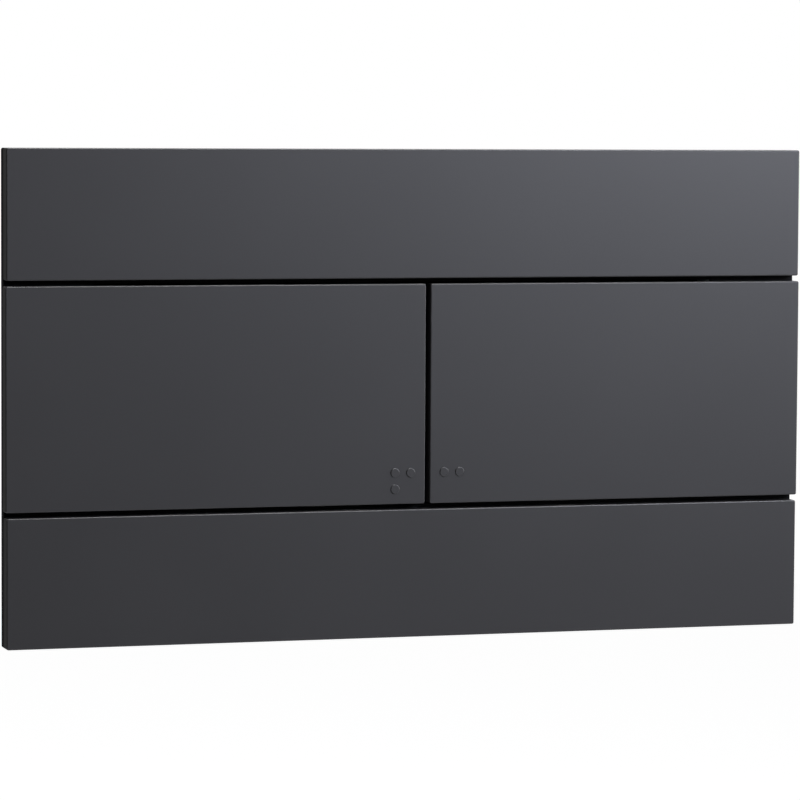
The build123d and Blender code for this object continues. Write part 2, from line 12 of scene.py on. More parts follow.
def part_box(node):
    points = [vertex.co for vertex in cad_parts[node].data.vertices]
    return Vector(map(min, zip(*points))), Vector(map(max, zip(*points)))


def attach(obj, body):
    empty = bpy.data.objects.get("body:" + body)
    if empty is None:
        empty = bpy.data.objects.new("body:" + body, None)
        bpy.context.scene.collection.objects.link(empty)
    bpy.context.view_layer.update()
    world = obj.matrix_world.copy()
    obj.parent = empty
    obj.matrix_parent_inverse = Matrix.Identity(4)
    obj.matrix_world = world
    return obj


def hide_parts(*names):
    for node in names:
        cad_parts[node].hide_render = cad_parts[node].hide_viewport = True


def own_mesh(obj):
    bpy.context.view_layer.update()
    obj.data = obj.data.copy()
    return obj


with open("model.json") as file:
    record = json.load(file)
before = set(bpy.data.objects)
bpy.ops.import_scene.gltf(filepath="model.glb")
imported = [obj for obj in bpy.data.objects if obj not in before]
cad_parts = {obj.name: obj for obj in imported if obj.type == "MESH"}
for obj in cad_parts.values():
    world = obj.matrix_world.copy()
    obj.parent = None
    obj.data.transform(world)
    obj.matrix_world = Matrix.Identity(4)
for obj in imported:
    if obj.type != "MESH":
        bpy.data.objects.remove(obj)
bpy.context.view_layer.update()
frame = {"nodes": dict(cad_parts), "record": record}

bl_info = {
    "name": "Flush button plate",
    "version": (1, 0, 0),
    "blender": (4, 5, 0),
    "location": "View3D > Sidebar > Flush plate",
    "description": "Dresses a dual flush plate: lacquered facings, mouldings, rods, springs and fixings",
    "category": "Add Mesh",
}

MM = 0.001
TURN = 2 * pi
WELD = 0.0001 * MM
FLAT_ANGLE = radians(0.3)
CREASE_ANGLE = radians(35)
SIDES = ("left", "right")
THREAD_SIZES = ("Radius", "Depth", "Pitch", "Start", "End", "Chamfer")

# How finely round forms are divided: turned pieces, a screw's crown, threads, and a spring's coil and wire.
ROUND_SIDES = 48
CROWN_STEPS = 5
THREAD_SIDES, RINGS_PER_TURN = 32, 8.0
COIL_STEPS, WIRE_SIDES = 40, 12
# The share of a spring's wire that lies flat at each end, and the width at the bottom of a cross recess as a
# share of that at its mouth.
FLAT_SHARE = 0.16
CROSS_TAPER = 0.55

# The photograph's camera: focal length and image side in pixels, the plate's turn before it in degrees, and
# the middle of the plate's front as the camera sees it, across, down and away in metres.
IMAGE_SIDE = 800
FOCAL_PIXELS = 4072.9
SENSOR_MM = 36.0
PLATE_YAW, PLATE_PITCH, PLATE_ROLL = -17.246, 3.987, 0.316
PLATE_PLACE = Vector((0.003606, -0.001594, 1.082949))

# Where each softbox stands about the plate: azimuth from the front towards the right and elevation, in
# degrees, and its distance, width and height in metres.
SOFTBOXES = {
    "key": (35, 23, 0.9, 0.3, 0.3),
    "top": (12, 75, 1.0, 0.7, 0.3),
    "right": (84, 8, 0.8, 0.25, 0.35),
    "back": (150, 45, 1.2, 0.6, 0.6),
}
# Where the backdrop begins and is whole, by how far back a direction points, and where its bright part begins
# and is whole, by how far up it points. Both are parts of a direction of length 1.
BACKDROP_BEGINS, BACKDROP_WHOLE = -0.1, 0.25
BRIGHT_BEGINS, BRIGHT_WHOLE = 0.35, 0.7
# The floor's reach from the middle, and how far off its own glow begins and is whole, in metres.
FLOOR_REACH = 4.0
GLOW_BEGINS, GLOW_WHOLE = 0.6, 1.2


def linear(code):
    """An sRGB hex colour as linear red, green and blue."""
    parts = [int(code[i : i + 2], 16) / 255 for i in (1, 3, 5)]
    return tuple(p / 12.92 if p <= 0.04045 else ((p + 0.055) / 1.055) ** 2.4 for p in parts)


def length(name, text, default_mm):
    """A size property in metres, with its default in millimetres."""
    return FloatProperty(name=name, description=text, default=default_mm * MM, precision=5, unit="LENGTH")


def colour(name, text, code):
    """A colour property, with its default as an sRGB hex value."""
    value = {"default": linear(code), "size": 3, "min": 0, "max": 1, "subtype": "COLOR"}
    return FloatVectorProperty(name=name, description=text, **value)


def level(name, text, default):
    """A light level property, where 1 is white."""
    return FloatProperty(name=name, description=text, default=default, min=0)


def power(name, text, default):
    """A lamp's power property, in watts."""
    return FloatProperty(name=name, description=text, default=default, min=0, unit="POWER")


class PlateSizes(PropertyGroup):
    """Sizes of the details that the solids leave plain."""

    edge_break: length("Edge break", "Rounding along the sharp edges of the mouldings", 0.18)
    notch_pitch: length("Notch pitch", "Spacing of the grooves at which a push rod is cut to length", 5.0)
    notch_depth: length("Notch depth", "Depth of those grooves", 0.45)
    notch_start: length("Notch start", "Depth behind the wall at which those grooves begin", 36.0)
    end_chamfer: length("End chamfer", "Chamfer at the ends of the rods and studs", 1.0)
    thread_pitch: length("Thread pitch", "Pitch of the fixing rods' thread", 1.0)
    thread_depth: length("Thread depth", "Depth of the fixing rods' thread", 0.5)
    stud_pitch: length("Stud pitch", "Pitch of the stud ends' thread", 0.8)
    stud_depth: length("Stud depth", "Depth of the stud ends' thread", 0.4)
    wire_radius: length("Wire radius", "Radius of the spring wire", 0.5)
    spring_turns: FloatProperty(name="Spring turns", description="Turns of a spring", default=5.5, min=2)
    cross_depth: length("Cross depth", "Depth of the cross recess in a screw's head", 0.75)
    cross_span: length("Cross span", "Length of the recess's two slots", 2.3)
    cross_width: length("Cross width", "Width of the recess's two slots", 0.7)


class PlateColours(PropertyGroup):
    """Colours of the finishes."""

    lacquer: colour("Lacquer", "Anthracite lacquer of the facings", "#222122")
    moulding: colour("Moulding", "Black plastic of the carrier and levers", "#171718")
    acetal: colour("Acetal", "White plastic of the push rods and bushes", "#d3d1c9")
    nylon: colour("Nylon", "Grey plastic of the wall frame, caps and nuts", "#85888b")
    zinc: colour("Zinc", "Zinc-plated steel of the rods, pins and screws", "#b9bcbe")
    spring: colour("Spring", "Bare spring steel", "#8e8f90")
    rubber: colour("Rubber", "Black rubber of the pads", "#161616")


class StageSettings(PropertyGroup):
    """Floor and light."""

    floor_drop: length("Floor drop", "Floor below the middle of the plate", 550.0)
    floor: colour("Floor", "Pale floor", "#e8e8e8")
    floor_glow: level("Floor glow", "White that the camera sees on the floor away from the lamps", 0.92)
    room: level("Room", "Light of the room in front of the plate", 0.02)
    backdrop: level("Backdrop", "Light of the backdrop behind the plate", 0.121)
    key: power("Key", "Power of the softbox at the upper right", 7.15)
    key_tint: colour("Key tint", "Colour of that softbox, a cool daylight", "#edf1ff")
    top: power("Top", "Power of the softbox overhead", 10.0)
    right: power("Right", "Power of the strip at the right", 3.5)
    back: power("Back", "Power of the softbox behind the plate", 6.0)


def new_piece(name, mesh):
    """A mesh as an object at the origin, in the scene."""
    piece = bpy.data.objects.new(name, mesh)
    bpy.context.scene.collection.objects.link(piece)
    return piece


def make_plain(piece):
    """Turns a piece's modifiers into its plain mesh."""
    graph = bpy.context.evaluated_depsgraph_get()
    made = piece.evaluated_get(graph)
    mesh = bpy.data.meshes.new_from_object(made, preserve_all_data_layers=True, depsgraph=graph)
    piece.modifiers.clear()
    piece.data = mesh
    mesh.name = piece.name
    return piece


def shade_smooth(piece):
    """Smooth curves with sharp creases."""
    piece.data.shade_smooth()
    piece.data.set_sharp_from_angle(angle=CREASE_ANGLE)


def coat(piece, material):
    """Gives a piece one material."""
    piece.data.materials.clear()
    piece.data.materials.append(material)


def seat(piece, body, slot, *nodes):
    """Lets a piece ride on a body, in the place of solids. Its slot is not used."""
    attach(piece, body)
    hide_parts(*nodes)


def welded(node):
    """A solid's mesh with its triangles welded and its flat faces made whole."""
    source = frame["nodes"][node].data
    mesh = bpy.data.meshes.new(node)
    mesh.from_pydata([v.co for v in source.vertices], [], [list(p.vertices) for p in source.polygons])
    work = bmesh.new()
    work.from_mesh(mesh)
    bmesh.ops.remove_doubles(work, verts=work.verts, dist=WELD)
    bmesh.ops.dissolve_limit(work, angle_limit=FLAT_ANGLE, verts=work.verts, edges=work.edges)
    for face in work.faces:
        face.smooth = True
    work.to_mesh(mesh)
    work.free()
    mesh.set_sharp_from_angle(angle=CREASE_ANGLE)
    return mesh


def moulded(name, node, edge_break=0.0):
    """A solid as a piece with smooth curves, flat flats and, where asked, its sharp edges rounded."""
    piece = new_piece(name, welded(node))
    if edge_break:
        bevel = piece.modifiers.new("Edge break", "BEVEL")
        bevel.limit_method = "ANGLE"
        bevel.angle_limit = CREASE_ANGLE
        bevel.width = edge_break
        bevel.segments = 2
        bevel.use_clamp_overlap = False
        bevel.harden_normals = True
    else:
        flats = piece.modifiers.new("Flat faces", "WEIGHTED_NORMAL")
        flats.keep_sharp = True
    return make_plain(piece)


def solids_of(node):
    """The lowest and highest corner of each solid in a node, from left to right and bottom to top."""
    work = bmesh.new()
    work.from_mesh(frame["nodes"][node].data)
    bmesh.ops.remove_doubles(work, verts=work.verts, dist=WELD)
    left = set(work.verts)
    boxes = []
    while left:
        reach = [left.pop()]
        corners = []
        while reach:
            vert = reach.pop()
            corners.append(vert.co.copy())
            near = {edge.other_vert(vert) for edge in vert.link_edges} & left
            left -= near
            reach.extend(near)
        low = Vector(min(c[i] for c in corners) for i in range(3))
        high = Vector(max(c[i] for c in corners) for i in range(3))
        boxes.append((low, high))
    work.free()
    return sorted(boxes, key=lambda box: (round(box[0].x, 6), round(box[0].z, 6)))


def depths_beyond(node, low, high, radius):
    """The depths of the points of one solid of a node, in its box, that lie beyond a radius from its axis."""
    axis = (low + high) / 2
    reach = (high.x - low.x) / 2 + WELD
    points = [vert.co for vert in frame["nodes"][node].data.vertices]
    return [p.y for p in points if radius < hypot(p.x - axis.x, p.z - axis.z) < reach]


def turned(profile):
    """A closed mesh turned about the depth axis from (radius, depth) points that start and end on it."""
    work = bmesh.new()
    angles = [TURN * step / ROUND_SIDES for step in range(ROUND_SIDES)]
    rings = []
    for radius, depth in profile:
        around = angles if radius else angles[:1]
        rings.append([work.verts.new((radius * cos(a), depth, radius * sin(a))) for a in around])
    for near, far in zip(rings, rings[1:]):
        for step in range(ROUND_SIDES):
            corners = [near[step % len(near)], near[(step + 1) % len(near)]]
            corners += [far[(step + 1) % len(far)], far[step % len(far)]]
            work.faces.new(dict.fromkeys(corners)).smooth = True
    bmesh.ops.recalc_face_normals(work, faces=work.faces)
    mesh = bpy.data.meshes.new("turned")
    work.to_mesh(mesh)
    work.free()
    mesh.set_sharp_from_angle(angle=CREASE_ANGLE)
    return mesh


def points_piece(name, places):
    """A piece of bare points, on which a node tree sets its copies."""
    mesh = bpy.data.meshes.new(name)
    mesh.from_pydata(places, [], [])
    return new_piece(name, mesh)


def add_node(tree, kind, inputs=None, **settings):
    """Adds a node with its settings and inputs, each a value, a socket or a node for its first output."""
    node = tree.nodes.new(kind)
    for name, value in settings.items():
        setattr(node, name, value)
    for key, value in (inputs or {}).items():
        if isinstance(value, bpy.types.Node):
            tree.links.new(value.outputs[0], node.inputs[key])
        elif isinstance(value, bpy.types.NodeSocket):
            tree.links.new(value, node.inputs[key])
        else:
            node.inputs[key].default_value = value
    return node


def geometry_tree(name, inputs):
    """A geometry node tree with named inputs of the given socket kinds, and those inputs' sockets in it."""
    tree = bpy.data.node_groups.new(name, "GeometryNodeTree")
    for label, kind in {"Geometry": "Geometry", **inputs}.items():
        tree.interface.new_socket(label, in_out="INPUT", socket_type="NodeSocket" + kind)
    tree.interface.new_socket("Geometry", in_out="OUTPUT", socket_type="NodeSocketGeometry")
    return tree, add_node(tree, "NodeGroupInput").outputs


def copy_to_points(tree, given, shape):
    """Ends a tree with one copy of a shape on each point, made real and coated."""
    spread = {"Points": given["Geometry"], "Instance": shape}
    copies = add_node(tree, "GeometryNodeInstanceOnPoints", spread)
    real = add_node(tree, "GeometryNodeRealizeInstances", {0: copies})
    coated = add_node(tree, "GeometryNodeSetMaterial", {"Geometry": real, "Material": given["Material"]})
    add_node(tree, "NodeGroupOutput", {0: coated})
    return tree


def grow(piece, tree, values):
    """Runs a geometry node tree on a piece and keeps the result as its plain mesh."""
    modifier = piece.modifiers.new(tree.name, "NODES")
    modifier.node_group = tree
    for item in tree.interface.items_tree:
        if item.item_type == "SOCKET" and item.in_out == "INPUT" and item.name in values:
            modifier[item.identifier] = values[item.name]
    return make_plain(piece)


def thread_tree():
    """A bar along the depth axis with a helical thread and chamfered ends, as one closed surface."""
    tree, size = geometry_tree("Threaded bar", {name: "Float" for name in THREAD_SIZES})
    span = add_node(tree, "ShaderNodeMath", {0: size["End"], 1: size["Start"]}, operation="SUBTRACT")
    turns = add_node(tree, "ShaderNodeMath", {0: span, 1: size["Pitch"]}, operation="DIVIDE")
    rings = add_node(tree, "ShaderNodeMath", {0: turns, 1: RINGS_PER_TURN}, operation="MULTIPLY")
    stock = {"Vertices": THREAD_SIDES, "Side Segments": rings, "Radius": size["Radius"], "Depth": span}
    bar = add_node(tree, "GeometryNodeMeshCylinder", stock)
    # The groove follows the turn about the axis and the way along it, and a chamfer cuts in at both ends.
    place = add_node(tree, "GeometryNodeInputPosition")
    axes = add_node(tree, "ShaderNodeSeparateXYZ", {0: place}).outputs
    half = add_node(tree, "ShaderNodeMath", {0: span, 1: 2.0}, operation="DIVIDE")
    along = add_node(tree, "ShaderNodeMath", {0: axes["Z"], 1: half}, operation="ADD")
    wound = add_node(tree, "ShaderNodeMath", {0: along, 1: size["Pitch"]}, operation="DIVIDE")
    angle = add_node(tree, "ShaderNodeMath", {0: axes["Y"], 1: axes["X"]}, operation="ARCTAN2")
    share = add_node(tree, "ShaderNodeMath", {0: angle, 1: TURN}, operation="DIVIDE")
    phase = add_node(tree, "ShaderNodeMath", {0: wound, 1: share}, operation="ADD")
    crest = add_node(tree, "ShaderNodeMath", {0: phase, 1: 0.5}, operation="PINGPONG")
    deepest = add_node(tree, "ShaderNodeMath", {0: size["Depth"], 1: 2.0}, operation="MULTIPLY")
    groove = add_node(tree, "ShaderNodeMath", {0: crest, 1: deepest}, operation="MULTIPLY")
    off_middle = add_node(tree, "ShaderNodeMath", {0: axes["Z"]}, operation="ABSOLUTE")
    from_end = add_node(tree, "ShaderNodeMath", {0: half, 1: off_middle}, operation="SUBTRACT")
    chamfer = add_node(tree, "ShaderNodeMath", {0: size["Chamfer"], 1: from_end}, operation="SUBTRACT")
    inward = add_node(tree, "ShaderNodeMath", {0: groove, 1: chamfer}, operation="MAXIMUM")
    cut = add_node(tree, "ShaderNodeMath", {0: inward, 1: size["Radius"]}, operation="DIVIDE")
    kept = add_node(tree, "ShaderNodeMath", {0: 1.0, 1: cut}, operation="SUBTRACT")
    shrink = add_node(tree, "ShaderNodeCombineXYZ", {"X": kept, "Y": kept, "Z": 1.0})
    moved = add_node(tree, "ShaderNodeVectorMath", {0: place, 1: shrink}, operation="MULTIPLY")
    threaded = add_node(tree, "GeometryNodeSetPosition", {"Geometry": bar, "Position": moved})
    centre = add_node(tree, "ShaderNodeMath", {0: size["Start"], 1: half}, operation="ADD")
    shift = add_node(tree, "ShaderNodeCombineXYZ", {"Y": centre})
    lie = {"Geometry": threaded, "Translation": shift, "Rotation": (-pi / 2, 0, 0)}
    add_node(tree, "NodeGroupOutput", {0: add_node(tree, "GeometryNodeTransform", lie)})
    return tree


def fixing_rod_tree():
    """Rods with a thinner threaded stud behind the shoulder, one on each point."""
    parts = [{name: f"{part} {name.lower()}" for name in THREAD_SIZES} for part in ("Rod", "Stud")]
    inputs = {label: "Float" for names in parts for label in names.values()}
    tree, size = geometry_tree("Fixing rods", inputs | {"Material": "Material"})
    thread = thread_tree()
    bars = add_node(tree, "GeometryNodeJoinGeometry")
    for names in parts:
        sizes = {name: size[label] for name, label in names.items()}
        bar = add_node(tree, "GeometryNodeGroup", sizes, node_tree=thread)
        tree.links.new(bar.outputs[0], bars.inputs[0])
    return copy_to_points(tree, size, bars)


def spring_tree():
    """A compression spring along the depth axis on each point, with its end turns laid flat."""
    names = ("Radius", "Wire", "Length", "Turns", "Flat share")
    tree, size = geometry_tree("Return spring", {name: "Float" for name in names} | {"Material": "Material"})
    coil = {"Rotations": size["Turns"], "Start Radius": size["Radius"], "End Radius": size["Radius"]}
    spiral = add_node(tree, "GeometryNodeCurveSpiral", coil | {"Resolution": COIL_STEPS, "Height": 0.0})
    along = add_node(tree, "GeometryNodeSplineParameter").outputs["Factor"]
    # Each flat end rises by the wire's thickness, and the coil between them by what is left of the length.
    thick = add_node(tree, "ShaderNodeMath", {0: size["Wire"], 1: 2.0}, operation="MULTIPLY")
    solid = add_node(tree, "ShaderNodeMath", {0: thick, 1: 3.0}, operation="MULTIPLY")
    free = add_node(tree, "ShaderNodeMath", {0: size["Length"], 1: solid}, operation="SUBTRACT")
    flat_end = add_node(tree, "ShaderNodeMath", {0: 1.0, 1: size["Flat share"]}, operation="SUBTRACT")
    depth = size["Wire"]
    rises = ((0.0, size["Flat share"], thick), (size["Flat share"], flat_end, free), (flat_end, 1.0, thick))
    for start, end, rise in rises:
        ramp = {"Value": along, "From Min": start, "From Max": end, "To Max": rise}
        risen = add_node(tree, "ShaderNodeMapRange", ramp)
        depth = add_node(tree, "ShaderNodeMath", {0: depth, 1: risen}, operation="ADD")
    place = add_node(tree, "GeometryNodeInputPosition")
    axes = add_node(tree, "ShaderNodeSeparateXYZ", {0: place}).outputs
    moved = add_node(tree, "ShaderNodeCombineXYZ", {"X": axes["X"], "Y": depth, "Z": axes["Y"]})
    path = add_node(tree, "GeometryNodeSetPosition", {"Geometry": spiral, "Position": moved})
    circle = {"Resolution": WIRE_SIDES, "Radius": size["Wire"]}
    section = add_node(tree, "GeometryNodeCurvePrimitiveCircle", circle)
    sweep = {"Curve": path, "Profile Curve": section, "Fill Caps": True}
    return copy_to_points(tree, size, add_node(tree, "GeometryNodeCurveToMesh", sweep))


def screw_tree():
    """One screw on each point."""
    tree, size = geometry_tree("Screws", {"Screw": "Object", "Material": "Material"})
    screw = add_node(tree, "GeometryNodeObjectInfo", {"Object": size["Screw"]})
    return copy_to_points(tree, size, screw.outputs["Geometry"])


def screw_master(node, low, high, sizes):
    """A pan-head screw along the depth axis, its head at the back, with a tapered cross recess."""
    top, tip = high.y, low.y
    head = (high.x - low.x) / 2
    shank = head / 2
    seat_depth = min(depths_beyond(node, low, high, (head + shank) / 2))
    crown_height = (top - seat_depth) / 2
    crown = []
    for step in range(CROWN_STEPS + 1):
        angle = TURN / 4 * step / CROWN_STEPS
        crown.append((head * sin(angle), top - (1 - cos(angle)) * crown_height))
    profile = [*crown, (head, seat_depth), (shank, seat_depth), (shank, tip + shank), (0, tip)]
    screw = new_piece("screw", turned(profile))
    work = bmesh.new()
    span, width = sizes.cross_span / 2, sizes.cross_width / 2
    for across, up in ((span, width), (width, span)):
        for vert in bmesh.ops.create_cube(work, size=2)["verts"]:
            taper = 1.0 if vert.co.y > 0 else CROSS_TAPER
            depth = top + vert.co.y * sizes.cross_depth
            vert.co = Vector((vert.co.x * across * taper, depth, vert.co.z * up * taper))
    mesh = bpy.data.meshes.new("cross")
    work.to_mesh(mesh)
    work.free()
    cross = new_piece("cross", mesh)
    cut = screw.modifiers.new("Cross recess", "BOOLEAN")
    cut.operation = "DIFFERENCE"
    cut.object = cross
    cut.solver = "EXACT"
    cut.use_self = True
    make_plain(screw)
    bpy.data.objects.remove(cross)
    return screw


def finish(name, base, roughness, spread, grain_mm, grain_depth_mm, mottle_mm, mottle, **sockets):
    """A material: mottled colour, roughness that wanders by spread, and a grain of that width and depth."""
    material = bpy.data.materials.new(name)
    material.diffuse_color = (*base, 1)
    material.roughness = roughness
    material.metallic = sockets.get("Metallic", 0.0)
    material.use_nodes = True
    tree = material.node_tree
    tree.nodes.clear()
    place = add_node(tree, "ShaderNodeTexCoord").outputs["Object"]
    patches = {"Vector": place, "Scale": 1 / (mottle_mm * MM), "Detail": 3.0}
    cloud = add_node(tree, "ShaderNodeTexNoise", patches)
    shade = (*(part * mottle for part in base), 1)
    tint = add_node(tree, "ShaderNodeMix", {0: cloud, 6: (*base, 1), 7: shade}, data_type="RGBA")
    wander = {"Value": cloud, "To Min": roughness - spread, "To Max": roughness + spread}
    rough = add_node(tree, "ShaderNodeMapRange", wander)
    bumps = {"Vector": place, "Scale": 1 / (grain_mm * MM), "Detail": 2.0}
    grain = add_node(tree, "ShaderNodeTexNoise", bumps)
    bump = add_node(tree, "ShaderNodeBump", {"Height": grain, "Distance": grain_depth_mm * MM})
    look = {"Base Color": tint.outputs[2], "Roughness": rough, "Normal": bump}
    look |= {key.replace("_", " "): value for key, value in sockets.items()}
    shader = add_node(tree, "ShaderNodeBsdfPrincipled", look)
    add_node(tree, "ShaderNodeOutputMaterial", {"Surface": shader})
    return material


def satin_lacquer(base):
    """Satin lacquer, sprayed on moulded caps."""
    # A soft, even sheen that lightens towards the lamp, with a trace of orange peel.
    texture = {"grain_mm": 1.6, "grain_depth_mm": 0.004, "mottle_mm": 40, "mottle": 0.97}
    return finish("Anthracite satin lacquer", base, 0.42, 0.02, Specular_IOR_Level=0.8, **texture)


def black_abs(base):
    """Black ABS, from a spark-eroded mould."""
    # Dull, with hardly any sheen, so that the gaps stay black. The mould's grain of about 0.05 mm is too fine
    # to show and is drawn at 0.35 mm.
    texture = {"grain_mm": 0.35, "grain_depth_mm": 0.02, "mottle_mm": 12, "mottle": 0.8}
    return finish("Black moulded ABS", base, 0.45, 0.05, IOR=1.54, Specular_IOR_Level=0.05, **texture)


def white_acetal(base):
    """White acetal, smooth from the mould."""
    # Waxy and slightly milky, with a broad soft highlight along the rods.
    texture = {"grain_mm": 0.5, "grain_depth_mm": 0.006, "mottle_mm": 9, "mottle": 0.95}
    return finish("White acetal", base, 0.36, 0.04, IOR=1.48, **texture)


def grey_nylon(base):
    """Grey nylon, moulded."""
    # A little duller than acetal, with faint flow marks. Its fine grain is drawn at 0.4 mm, so that it shows.
    texture = {"grain_mm": 0.4, "grain_depth_mm": 0.01, "mottle_mm": 6, "mottle": 0.9}
    return finish("Grey nylon", base, 0.45, 0.05, IOR=1.53, **texture)


def zinc_steel(base):
    """Steel with a zinc plating."""
    # Pale metal with a slightly cloudy passivation. Its crystals are drawn at 0.3 mm, so that they show.
    texture = {"grain_mm": 0.3, "grain_depth_mm": 0.004, "mottle_mm": 3, "mottle": 0.82}
    return finish("Zinc plated steel", base, 0.33, 0.09, Metallic=1.0, **texture)


def spring_steel(base):
    """Spring steel, drawn to wire."""
    # Darker bare metal. The scores of the die are drawn at 0.2 mm, so that they show.
    texture = {"grain_mm": 0.2, "grain_depth_mm": 0.003, "mottle_mm": 2, "mottle": 0.85}
    return finish("Drawn spring steel", base, 0.3, 0.06, Metallic=1.0, **texture)


def black_rubber(base):
    """Moulded rubber."""
    # Black and matt, with a soft bloom that lightens it in patches.
    texture = {"grain_mm": 0.3, "grain_depth_mm": 0.02, "mottle_mm": 4, "mottle": 1.3}
    return finish("Black rubber", base, 0.75, 0.08, IOR=1.52, **texture)


# The record's slots, each with the maker of its material and the name of its colour.
FINISHES = {
    "anthracite_lacquer": (satin_lacquer, "lacquer"),
    "black_plastic": (black_abs, "moulding"),
    "white_plastic": (white_acetal, "acetal"),
    "grey_plastic": (grey_nylon, "nylon"),
    "steel": (zinc_steel, "zinc"),
    "spring_steel": (spring_steel, "spring"),
    "rubber": (black_rubber, "rubber"),
}


@cache
def material_for(slot):
    """The material of a slot in the record, made once."""
    make, tone = FINISHES[slot]
    return make(getattr(bpy.context.scene.plate_colours, tone))


def dress(name, node, body, slot, edge_break=0.0):
    """One solid as a finished piece."""
    piece = moulded(name, node, edge_break)
    coat(piece, material_for(slot))
    seat(piece, body, slot, node)
    return piece


class FLUSHPLATE_OT_facings(Operator):
    """Makes the lacquered panels and button caps, with their rounded edges and tactile dots"""

    bl_idname = "flushplate.facings"
    bl_label = "Facings"

    def execute(self, context):
        for end in ("top", "bottom"):
            dress(f"{end}_facing", f"{end}_panel", "plate", "anthracite_lacquer")
        for side in SIDES:
            dress(f"{side}_cap", f"{side}_button", f"{side}_key", "anthracite_lacquer")
        return {"FINISHED"}


class FLUSHPLATE_OT_mouldings(Operator):
    """Makes the black carrier and levers, and the grey frame in the wall"""

    bl_idname = "flushplate.mouldings"
    bl_label = "Mouldings"

    def execute(self, context):
        edge = context.scene.plate_sizes.edge_break
        dress("base_moulding", "carrier", "plate", "black_plastic", edge)
        dress("wall_frame", "mounting_frame", "plate", "grey_plastic", edge)
        for side in SIDES:
            dress(f"{side}_rocker", f"{side}_lever", f"{side}_key", "black_plastic", edge)
        return {"FINISHED"}


class FLUSHPLATE_OT_hinges(Operator):
    """Makes the hinge pins, their clips and the rubber pads"""

    bl_idname = "flushplate.hinges"
    bl_label = "Hinges and pads"

    def execute(self, context):
        edge = context.scene.plate_sizes.edge_break
        dress("hinge_clips", "pin_clips", "plate", "steel", edge / 2)
        for side in SIDES:
            dress(f"{side}_pivot", f"{side}_hinge_pin", "plate", "steel")
            dress(f"{side}_pads", f"{side}_buffers", "plate", "rubber", edge)
        return {"FINISHED"}


class FLUSHPLATE_OT_plungers(Operator):
    """Makes the push rods with their notches, the caps, lock nuts and bushes"""

    bl_idname = "flushplate.plungers"
    bl_label = "Push rods"

    def execute(self, context):
        sizes = context.scene.plate_sizes
        edge, cut, chamfer = sizes.edge_break, sizes.notch_depth, sizes.end_chamfer
        for side in SIDES:
            node = f"{side}_push_rod"
            low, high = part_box(node)
            middle = (low + high) / 2
            radius = (high.x - low.x) / 2
            profile = [(0, low.y), (radius - edge, low.y), (radius, low.y + edge)]
            notch = sizes.notch_start
            while notch < high.y - sizes.notch_pitch / 2:
                profile += [(radius, notch - cut), (radius - cut, notch), (radius, notch + cut)]
                notch += sizes.notch_pitch
            profile += [(radius, high.y - chamfer), (radius - chamfer, high.y), (0, high.y)]
            rod = new_piece(f"{side}_rod", turned(profile))
            rod.data.transform(Matrix.Translation((middle.x, 0, middle.z)))
            coat(rod, material_for("white_plastic"))
            seat(rod, f"{side}_plunger", "white_plastic", node)
            dress(f"{side}_rod_head", f"{side}_rod_cap", f"{side}_plunger", "grey_plastic", edge)
            dress(f"{side}_rod_nut", f"{side}_lock_nut", f"{side}_plunger", "grey_plastic", edge)
            dress(f"{side}_bush", f"{side}_guide_bush", "plate", "white_plastic", edge)
        return {"FINISHED"}


class FLUSHPLATE_OT_springs(Operator):
    """Makes the return springs"""

    bl_idname = "flushplate.springs"
    bl_label = "Return springs"

    def execute(self, context):
        sizes = context.scene.plate_sizes
        tree = spring_tree()
        for side in SIDES:
            node = f"{side}_return_spring"
            low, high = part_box(node)
            middle = (low + high) / 2
            spring = points_piece(f"{side}_spring", [(middle.x, low.y, middle.z)])
            values = {"Radius": (high.x - low.x) / 2 - sizes.wire_radius, "Wire": sizes.wire_radius}
            values |= {"Length": high.y - low.y, "Turns": sizes.spring_turns, "Flat share": FLAT_SHARE}
            grow(spring, tree, values | {"Material": material_for("spring_steel")})
            shade_smooth(spring)
            seat(spring, "plate", "spring_steel", node)
            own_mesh(spring)
        return {"FINISHED"}


class FLUSHPLATE_OT_fixings(Operator):
    """Makes the threaded fixing rods and their thumb nuts"""

    bl_idname = "flushplate.fixings"
    bl_label = "Fixings"

    def execute(self, context):
        sizes = context.scene.plate_sizes
        nodes = [f"{side}_fixing_rod" for side in SIDES]
        boxes = [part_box(node) for node in nodes]
        low, high = boxes[0]
        rod_radius = (high.x - low.x) / 2
        mount = next(m for m in frame["record"]["mounts"] if m["name"] == "fixing_studs")
        stud_radius = mount["dims"]["stud_r_mm"] * MM
        shoulder = max(depths_beyond(nodes[0], low, high, (rod_radius + stud_radius) / 2))
        rods = points_piece("fixing_rods", [((a.x + b.x) / 2, 0, (a.z + b.z) / 2) for a, b in boxes])
        values = {"Rod radius": rod_radius, "Rod depth": sizes.thread_depth, "Rod pitch": sizes.thread_pitch}
        values |= {"Rod start": low.y, "Rod end": shoulder, "Rod chamfer": sizes.end_chamfer}
        values |= {"Stud radius": stud_radius, "Stud depth": sizes.stud_depth, "Stud pitch": sizes.stud_pitch}
        values |= {"Stud start": shoulder - sizes.thread_pitch / 2, "Stud end": high.y}
        values |= {"Stud chamfer": sizes.end_chamfer, "Material": material_for("steel")}
        grow(rods, fixing_rod_tree(), values)
        shade_smooth(rods)
        seat(rods, "plate", "steel", *nodes)
        for side in SIDES:
            dress(f"{side}_thumb_nut", f"{side}_fixing_nut", "plate", "grey_plastic", sizes.edge_break)
        return {"FINISHED"}


